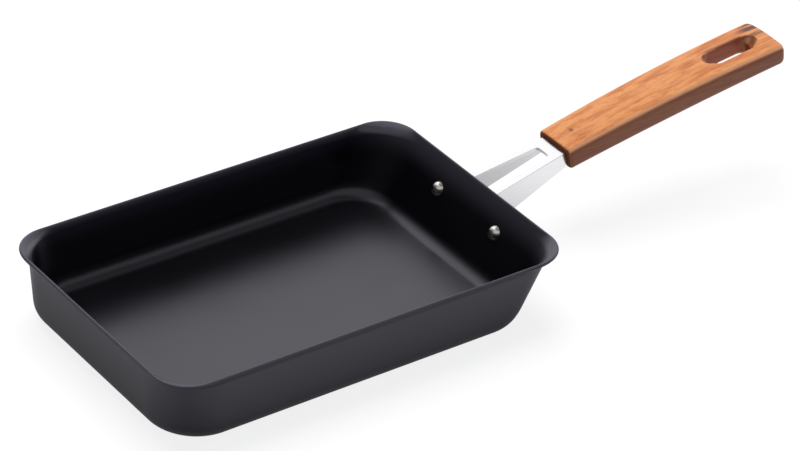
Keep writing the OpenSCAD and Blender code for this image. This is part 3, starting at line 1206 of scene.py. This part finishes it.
@dataclass
class Fasteners:
    """A row of equal fasteners, each a piece of its own that stands for its own CAD node."""

    nodes: tuple[str, str]
    one: Mesh
    places: list[Vector]
    turn: float
    sharp_from: float = 30.0

    def tree(self) -> Tree:
        """Build the geometry tree that sets a fastener at equal steps.

        Returns:
            The tree. Its inputs are Count, First, Step, Turn and Material.
        """
        tree, given = geometry_tree("Fasteners in a row", {
            "Count": "Int", "First": "Vector", "Step": "Vector", "Turn": "Vector",
        })
        line = add(tree, "GeometryNodeMeshLine", {
            "Count": given["Count"], "Start Location": given["First"], "Offset": given["Step"],
        }, mode="OFFSET")
        turn = add(tree, "FunctionNodeEulerToRotation", {0: given["Turn"]})
        row = add(tree, "GeometryNodeInstanceOnPoints", {
            "Points": line.outputs[0], "Instance": given["Mesh"], "Rotation": turn.outputs[0],
        })
        return end_tree(tree, row.outputs[0], given["Material"])

    def build(self, material: Any) -> list[Object]:
        """Set the fasteners and part the row into its pieces.

        Args:
            material: Their finish.

        Returns:
            The pieces, in the order of their nodes.
        """
        row = new_object("fastener_row", self.one)
        count = len(row.data.vertices)
        modifier = row.modifiers.new("row", "NODES")
        modifier.node_group = self.tree()
        step = (self.places[-1] - self.places[0]) / (len(self.nodes) - 1)
        set_inputs(modifier, {
            "Count": len(self.nodes), "First": self.places[0], "Step": step,
            "Turn": (0.0, self.turn, 0.0), "Material": material,
        })
        settle(row)
        pieces = []
        for i, node in enumerate(self.nodes):
            mesh = bmesh.new()
            mesh.from_mesh(row.data)
            mesh.verts.ensure_lookup_table()
            others = [v for v in mesh.verts if not i * count <= v.index < (i + 1) * count]
            bmesh.ops.delete(mesh, geom=others, context="VERTS")
            pieces.append(smooth(new_object(node + "_dressed", mesh), self.sharp_from))
        bpy.data.meshes.remove(row.data)
        return pieces


@dataclass(frozen=True)
class Layer:
    """One colour laid over a finish, as strong as the product of its masks.

    A mask is the name of what it reads, where it starts and ends, and its strength at the end.
    """

    name: str
    colour: str
    masks: tuple[tuple[str, float, float, float], ...]
    ramp: Ramp = Ramp.SOFT

    def strength(self, tree: Tree, known: dict[str, Socket]) -> Socket:
        """Add the masks' nodes.

        Args:
            tree: The material's tree.
            known: The sockets that masks read, by name.

        Returns:
            The socket that gives the layer's strength.
        """
        strength = None
        for source, start, end, most in self.masks:
            mask = add(tree, "ShaderNodeMapRange", {
                "Value": known[source], "From Min": start, "From Max": end, "To Max": most,
            }, interpolation_type=self.ramp.value).outputs["Result"]
            strength = mask if strength is None else add(
                tree, "ShaderNodeMath", {0: strength, 1: mask}, operation="MULTIPLY"
            ).outputs[0]
        return strength


@dataclass(frozen=True)
class Finish:
    """What the pan's finishes share: a two-toned figure, layers of colour, roughness and bump.

    A grain is a noise pattern, with its steps per metre along X, Y and Z and its detail. The one
    named figure carries the two tones.
    """

    name: str
    dark: str
    light: str
    roughness: float
    tones: Pair  # Where in the figure the dark and the light tone lie.
    grains: Grains
    bump: Range  # The grain that it follows, its strength and its height.
    rough_by: Range  # What the roughness follows, from where to where.
    rough_spread: Pair  # The roughness there, less the finish's own.
    lie: float = 0.0  # Slope of the grain in degrees, which rises towards the handle's end.

    def read(self, tree: Tree, place: Socket) -> dict[str, Socket]:
        """Return what the layers read beside the grains, by name."""
        return {}

    def layers(self) -> tuple[Layer, ...]:
        """Return the colours laid over the figure, in their order."""
        return ()

    def constants(self) -> dict[str, Any]:
        """Return the values that are set on the shader itself."""
        return {}

    def make(self) -> bpy.types.Material:
        """Build the material.

        Returns:
            The material.
        """
        material = bpy.data.materials.new(self.name)
        material.use_nodes = True
        tree = material.node_tree
        place = add(tree, "ShaderNodeTexCoord").outputs["Object"]
        known = self.read(tree, place)
        lie = (0.0, math.radians(self.lie), 0.0)
        for name, steps, detail in self.grains:
            drawn = add(tree, "ShaderNodeMapping", {"Vector": place, "Rotation": lie, "Scale": steps})
            known[name] = add(tree, "ShaderNodeTexNoise", {
                "Vector": drawn.outputs[0], "Scale": 1.0, "Detail": detail,
            }).outputs["Fac"]
        stops = list(zip(self.tones, (linear(self.dark), linear(self.light))))
        tone = add(tree, "ShaderNodeValToRGB", {"Fac": known["figure"]}, stops).outputs[0]
        for layer in self.layers():
            known[layer.name] = layer.strength(tree, known)
            tone = add(tree, "ShaderNodeMix", {
                "Factor": known[layer.name], 6: tone, 7: linear(layer.colour),
            }, data_type="RGBA").outputs[2]
        source, start, end = self.rough_by
        low, high = (self.roughness + more for more in self.rough_spread)
        rough = add(tree, "ShaderNodeMapRange", {
            "Value": known[source], "From Min": start, "From Max": end, "To Min": low, "To Max": high,
        })
        grain, strength, height = self.bump
        bump = add(tree, "ShaderNodeBump", {
            "Height": known[grain], "Strength": strength, "Distance": height,
        })
        feed(tree, tree.nodes["Principled BSDF"], {
            **self.constants(), "Base Color": tone, "Roughness": rough.outputs["Result"],
            "Normal": bump.outputs["Normal"],
        })
        return material


@dataclass(frozen=True)
class Coating(Finish):
    """Coat sprayed and baked on the pressed sheet: near black, semi-matt, finely pebbled.

    Its pebbles are about 1 mm wide, coarser than real ones so that they show. It is painted a
    little lighter towards the rim: a painted highlight where the flare catches the light.
    """

    name: str = "baked_nonstick_coating"
    dark: str = "040406"
    light: str = "09090d"
    roughness: float = 0.29
    tones: Pair = (0.3, 0.75)
    grains: Grains = (
        ("pebbles", (900.0, 900.0, 900.0), 2.0), ("figure", (40.0, 40.0, 40.0), 4.0),
    )
    bump: Range = ("pebbles", 0.1, 0.00005)
    rough_by: Range = ("figure", 0.3, 0.7)
    rough_spread: Pair = (-0.015, 0.02)
    ior: float = 1.75
    sheen: str = "efedff"
    # Colour of the painted highlight towards the rim.
    rim: str = "3c3c43"
    rim_low: float = 0.018
    rim_high: float = 0.0297

    def read(self, tree: Tree, place: Socket) -> dict[str, Socket]:
        """Return the height, which the lighter rim reads."""
        return {"height": add(tree, "ShaderNodeSeparateXYZ", {0: place}).outputs["Z"]}

    def layers(self) -> tuple[Layer, ...]:
        """Return the painted highlight: a lighter colour near the rim."""
        return (Layer("painted rim highlight", self.rim, (("height", self.rim_low, self.rim_high, 1.0),)),)

    def constants(self) -> dict[str, Any]:
        """Return the coat's gloss and its faint violet sheen."""
        return {"IOR": self.ior, "Specular Tint": linear(self.sheen)}


@dataclass(frozen=True)
class BrightSteel(Finish):
    """Stainless steel, ground to a fine satin and polished: bright and softly mirroring.

    The streaks of its grinding are about 0.6 mm wide and 25 mm long, coarser than real ones so
    that they show.
    """

    name: str = "satin_stainless_steel"
    dark: str = "e5e5e7"
    light: str = "efeff1"
    roughness: float = 0.2
    tones: Pair = (0.25, 0.8)
    grains: Grains = (("figure", (40.0, 1800.0, 1800.0), 2.0),)
    bump: Range = ("figure", 0.06, 0.00002)
    rough_by: Range = ("figure", 0.3, 0.7)
    rough_spread: Pair = (-0.04, 0.06)

    def constants(self) -> dict[str, Any]:
        """Return what makes it a metal."""
        return {"Metallic": 1.0}


@dataclass(frozen=True)
class OiledWood(Finish):
    """Oiled hardwood with its grain along the grip: warm orange brown, dark on its end grain.

    Its figure's streaks are about 3 mm wide and 90 mm long. Its open pores are drawn 0.7 mm wide
    and 9 mm long, coarser than real ones so that they show.
    """

    name: str = "oiled_hardwood"
    dark: str = "d27238"
    light: str = "faa866"
    roughness: float = 0.42
    tones: Pair = (0.28, 0.56)
    grains: Grains = (
        ("figure", (11.0, 380.0, 380.0), 5.0), ("grain", (110.0, 1500.0, 1500.0), 2.0),
    )
    bump: Range = ("grain", 0.15, 0.0001)
    rough_by: Range = ("end grain", 0.0, 1.0)
    rough_spread: Pair = (0.0, 0.38)
    lie: float = 9.5
    knot_place: Point = (0.1332, 0.0003, 0.0391)
    # Reach of the painted shade in the nooks of the slot and the socket.
    nook_reach: float = 0.007
    nook_samples: int = 4

    def read(self, tree: Tree, place: Socket) -> dict[str, Socket]:
        """Add what the layers read.

        Args:
            tree: The material's tree.
            place: The socket that gives the place on the pan.

        Returns:
            How much a face turns to the grip's end or flank, how open it lies, and where it is.
        """
        along = (cos_d(self.lie), 0.0, sin_d(self.lie))
        normal = add(tree, "ShaderNodeNewGeometry").outputs["Normal"]
        known = {
            "across": add(tree, "ShaderNodeSeparateXYZ", {0: place}).outputs["Y"],
            "open": add(
                tree, "ShaderNodeAmbientOcclusion", {"Distance": self.nook_reach},
                samples=self.nook_samples, only_local=True,
            ).outputs["AO"],
        }
        for name, first, second, operation in (
            ("end", normal, along, "DOT_PRODUCT"), ("flank", normal, (0.0, 1.0, 0.0), "DOT_PRODUCT"),
            ("along", place, along, "DOT_PRODUCT"), ("from knot", place, self.knot_place, "DISTANCE"),
        ):
            known[name] = add(
                tree, "ShaderNodeVectorMath", {0: first, 1: second}, operation=operation
            ).outputs["Value"]
        for name in ("end", "flank"):
            known[name] = add(tree, "ShaderNodeMath", {0: known[name]}, operation="ABSOLUTE").outputs[0]
        return known

    def layers(self) -> tuple[Layer, ...]:
        """Return the wood's colours over its figure.

        Returns:
            The open pores, the thirsty end grain, painted shade on the flanks, a painted highlight
            along the edges, a small knot, painted shade in the nooks of the slot and the socket, and a
            darker, greyer streak on the far side of the end.
        """
        return (
            Layer("pores", "9a4c28", (("grain", 0.5, 0.75, 0.4),), Ramp.STRAIGHT),
            Layer("end grain", "8c4220", (("end", 0.45, 0.95, 0.85),)),
            # Painted shade on the flanks, darker as a face turns sideways.
            Layer("painted flank shade", "b4604e", (("flank", 0.6, 0.9, 0.5),)),
            # Painted highlight along the rounded edges between the faces and the flanks.
            Layer("painted edge highlight", "f0bc94", (("flank", 0.2, 0.45, 0.75), ("flank", 0.85, 0.6, 1.0))),
            Layer("knot", "7a3a20", (("from knot", 0.0015, 0.0004, 0.8),)),
            # Painted shade in the nooks, darker where the wood hems a place in.
            Layer("painted nook shade", "54241c", (("open", 0.7, 0.3, 0.65),)),
            # A darker, greyer streak on the far side of the end, past the slot.
            Layer("far end streak", "6a4038", (
                ("along", 0.226, 0.233, 1.0), ("across", -0.002, 0.004, 1.0), ("figure", 0.62, 0.4, 1.0),
            )),
        )


@dataclass(frozen=True)
class PaleFloor:
    """Matt pale board that the pan stands on, white to the camera and to reflections, which see a
    painted shadow round the pan.
    """

    colour: str = "8c8c8c"
    lift: float = 0.84
    pan_half: Point = (0.09, 0.06, 1.0)
    beside_from: float = 0.95  # Where the painted shadow round the pan starts to fade, in half sizes of the pan.
    beside_to: float = 1.8  # Where it ends.
    shadow_share: float = 0.3  # How much of its light a reflection shows within the painted shadow.

    def make(self) -> bpy.types.Material:
        """Build the material.

        Returns:
            The material.
        """
        material = bpy.data.materials.new("pale_floor")
        material.use_nodes = True
        tree = material.node_tree
        tree.nodes.clear()
        known = rays(tree)
        place = add(tree, "ShaderNodeTexCoord").outputs["Object"]
        shares = add(tree, "ShaderNodeVectorMath", {0: place, 1: self.pan_half}, operation="DIVIDE")
        sizes = add(tree, "ShaderNodeVectorMath", {0: shares.outputs[0]}, operation="ABSOLUTE")
        apart = add(tree, "ShaderNodeSeparateXYZ", {0: sizes.outputs[0]}).outputs
        beside = add(tree, "ShaderNodeMath", {0: apart["X"], 1: apart["Y"]}, operation="MAXIMUM")
        # Reflections see the floor darker near the pan: a painted shadow.
        near = add(tree, "ShaderNodeMapRange", {
            "Value": beside.outputs[0], "From Min": self.beside_from, "From Max": self.beside_to,
            "To Min": self.shadow_share,
        })
        painted_shadow = add(tree, "ShaderNodeMix", {
            "Factor": known["mirrored"], 2: 1.0, 3: near.outputs["Result"],
        })
        known |= {"share": painted_shadow.outputs[0], "lift": self.lift}
        for name, operation, first, second in (
            ("seen", "MAXIMUM", "mirrored", "camera"), ("level", "MULTIPLY", "share", "lift"),
            ("strength", "MULTIPLY", "seen", "level"),
        ):
            inputs = {0: known[first], 1: known[second]}
            known[name] = add(tree, "ShaderNodeMath", inputs, operation=operation).outputs[0]
        matt = add(tree, "ShaderNodeBsdfDiffuse", {"Color": linear(self.colour)})
        glow = add(tree, "ShaderNodeEmission", {"Strength": known["strength"]})
        both = add(tree, "ShaderNodeAddShader", {0: matt.outputs[0], 1: glow.outputs[0]})
        add(tree, "ShaderNodeOutputMaterial", {"Surface": both.outputs[0]})
        return material


@dataclass
class Studio:
    """The floor, the lamp, the white surroundings and the camera."""

    floor_half: float = 3.0
    azimuth: float = -37.18
    elevation: float = 32.78
    roll: float = 3.35
    distance: float = 1442.44
    shift_right: float = 42.78
    shift_up: float = 32.59
    focal_pixels: float = 3775.19
    picture_width: int = 800
    sensor: float = 36.0
    clip: Pair = (0.1, 20.0)
    ambient: float = 0.2
    ambient_tint: str = "d0d8ff"
    ceiling_aim: Point = (0.45, 0.05, 1.0)
    bright: float = 1.25
    dim: float = 0.03
    lamp_place: Point = (0.15, 0.5, 1.2)
    lamp_aim: Point = (0.05, 0.0, 0.0)
    lamp_size: float = 1.0
    lamp_power: float = 15.0
    lamp_colour: str = "fffdf8"
    # The reflected studio's edges: name, direction looked in, where it is dark, where it is
    # bright, and what is left in the dark.
    edges: tuple[tuple[str, str, float, float, float], ...] = (
        ("left end", "right", -0.95, -0.35, 0.0), ("ceiling", "ceiling", 0.99, 0.93, 0.22),
        ("front foot", "up", 0.42, 0.6, 0.0), ("backdrop", "away", 0.15, 0.5, 0.0),
        ("front", "away", -0.1, 0.4, 0.35), ("horizon", "up", 0.05, 0.35, 0.3),
    )

    def floor(self) -> None:
        """Lay the floor."""
        mesh = bmesh.new()
        bmesh.ops.create_grid(mesh, x_segments=1, y_segments=1, size=self.floor_half)
        floor = new_object("floor", mesh)
        floor.data.materials.append(PaleFloor().make())
        floor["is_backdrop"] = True

    def surroundings(self) -> None:
        """Make the world white to the camera, and a studio with pale panels to reflections.

        A bright backdrop stands behind the pan and fainter panels in front of it. They fade at
        the camera's left, at the ceiling, towards the horizon and at the foot in front, which
        gives the black coating its shape.
        """
        world = bpy.data.worlds.new("studio")
        bpy.context.scene.world = world
        world.use_nodes = True
        tree = world.node_tree
        look = add(tree, "ShaderNodeTexCoord").outputs["Generated"]
        aims = {
            "right": (cos_d(self.azimuth), sin_d(self.azimuth), 0.0),
            "away": (-sin_d(self.azimuth), cos_d(self.azimuth), 0.0),
            "up": (0.0, 0.0, 1.0), "ceiling": self.ceiling_aim,
        }
        known = rays(tree)
        for name, aim, dark, bright, least in self.edges:
            along = add(tree, "ShaderNodeVectorMath", {0: look, 1: aims[aim]}, operation="DOT_PRODUCT")
            known[name] = add(tree, "ShaderNodeMapRange", {
                "Value": along.outputs["Value"], "From Min": dark, "From Max": bright, "To Min": least,
            }, interpolation_type=Ramp.SOFT.value).outputs["Result"]
        for name, operation, first, second in (
            ("foot", "MULTIPLY", "front foot", "front"), ("open", "MAXIMUM", "foot", "backdrop"),
            ("roofed", "MULTIPLY", "open", "ceiling"), ("panel", "MULTIPLY", "roofed", "horizon"),
            ("panels", "MULTIPLY", "panel", "left end"),
        ):
            inputs = {0: known[first], 1: known[second]}
            known[name] = add(tree, "ShaderNodeMath", inputs, operation=operation).outputs[0]
        shine = add(tree, "ShaderNodeMapRange", {
            "Value": known["panels"], "To Min": self.dim, "To Max": self.bright,
        }).outputs["Result"]
        level, tint = self.ambient, linear(self.ambient_tint)
        for ray, strength in (("mirrored", shine), ("camera", 1.0)):
            level = add(tree, "ShaderNodeMix", {"Factor": known[ray], 2: level, 3: strength}).outputs[0]
            tint = add(tree, "ShaderNodeMix", {
                "Factor": known[ray], 6: tint, 7: linear(WHITE),
            }, data_type="RGBA").outputs[2]
        feed(tree, tree.nodes["Background"], {"Color": tint, "Strength": level})

    def lamp(self) -> None:
        """Hang a soft square lamp over the pan, which reflections don't show."""
        data = bpy.data.lights.new("overhead", "AREA")
        data.shape, data.size, data.energy = "SQUARE", self.lamp_size, self.lamp_power
        data.color = linear(self.lamp_colour)[:3]
        lamp = bpy.data.objects.new("overhead", data)
        lamp.location = self.lamp_place
        aim = Vector(self.lamp_aim) - Vector(self.lamp_place)
        lamp.rotation_mode = "QUATERNION"
        lamp.rotation_quaternion = aim.to_track_quat("-Z", "Y")
        lamp.visible_glossy = False
        bpy.context.scene.collection.objects.link(lamp)

    def camera(self) -> None:
        """Set the camera at the picture's viewing angle."""
        back = Vector((
            sin_d(self.azimuth) * cos_d(self.elevation), -cos_d(self.azimuth) * cos_d(self.elevation),
            sin_d(self.elevation),
        ))
        level = Vector((cos_d(self.azimuth), sin_d(self.azimuth), 0))
        upright = back.cross(level)
        right = level * cos_d(self.roll) + upright * sin_d(self.roll)
        up = upright * cos_d(self.roll) - level * sin_d(self.roll)
        data = bpy.data.cameras.new("camera")
        data.sensor_width = self.sensor
        data.lens = self.focal_pixels / self.picture_width * self.sensor
        data.clip_start, data.clip_end = self.clip
        camera = bpy.data.objects.new("camera", data)
        place = (right * self.shift_right + up * self.shift_up + back * self.distance) * MM
        turned = Matrix((right, up, back)).transposed().to_4x4()
        camera.matrix_world = Matrix.Translation(place) @ turned
        bpy.context.scene.collection.objects.link(camera)
        bpy.context.scene.camera = camera

    def build(self) -> None:
        """Set up everything round the pan."""
        bpy.context.scene.view_settings.view_transform = "Standard"
        for part in (self.camera, self.floor, self.surroundings, self.lamp):
            part()


def hand_over(piece: Object, node: str, slot: str, *materials: Any) -> None:
    """Give a piece its finishes and let it stand for its CAD node.

    Args:
        piece: The finished piece.
        node: The CAD node that it replaces.
        slot: The record's material slot; not used.
        *materials: Its finishes, in the order of its faces' numbers.
    """
    kept = [face.material_index for face in piece.data.polygons]
    piece.data.materials.clear()
    for material in materials:
        piece.data.materials.append(material)
    piece.data.polygons.foreach_set("material_index", kept)
    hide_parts(node)
    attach(piece, BODY)
    log.info("%s: %d faces, for %s", piece.name, len(piece.data.polygons), node)


def main() -> None:
    """Build the pieces in order, dress them and set up the studio."""
    logging.basicConfig(level=logging.INFO, format="%(message)s")
    pan, rivets, bracket, grip, tang, screws = PanBody(), Rivets(), Bracket(), Grip(), Tang(), Screws()
    Studio().build()
    coating, steel, wood = Coating().make(), BrightSteel().make(), OiledWood().make()
    # The rivets are brighter and warmer than the bracket, and the screws are duller.
    rivet_steel = BrightSteel("polished_rivet_steel", light="fff4e6", roughness=0.16).make()
    screw_steel = BrightSteel("zinc_plated_steel", light="c9cac6", roughness=0.3).make()
    # The outside is flatter and greyer than the inside, and like it is painted lighter towards the
    # rim, a painted highlight. The rim's edge is painted mid grey, a painted highlight too.
    paint = Coating("baked_outer_paint", "0c0c10", "141419", 0.45, ior=1.7, rim="16161b").make()
    rim_highlight_coat = Coating("painted_rim_highlight", "46464c", "54545b", 0.45, ior=1.5, rim="54545b").make()
    hand_over(pan.build(rivets), "pan_body", "pan_coating", coating, paint, rim_highlight_coat)
    hand_over(bracket.build(), "handle_bracket", "bracket_steel", steel)
    hand_over(grip.build(bracket, tang, screws, wood), "grip", "grip_wood", wood)
    wall, neck = pan.wall_frame(), bracket.place()
    seats = [wall @ offset for offset in rivets.offsets()]
    heads = [neck @ at for at in screws.places(grip, bracket, tang)]
    rivet_turn, screw_turn = math.radians(pan.handle_lean - 90), -math.radians(bracket.tilt)
    pair = Fasteners(("rivet_left", "rivet_right"), rivets.one(), seats, rivet_turn)
    line = Fasteners(("screw_front", "screw_rear"), screws.one(), heads, screw_turn)
    for row, slot, finish in ((pair, "rivet_steel", rivet_steel), (line, "screw_steel", screw_steel)):
        for node, piece in zip(row.nodes, row.build(finish)):
            hand_over(piece, node, slot, finish)


if __name__ == "__main__":
    main()
    boxes = {"cad": cad_box, "visual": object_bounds()}
    {name: [list(corner) for corner in box] for name, box in boxes.items()}
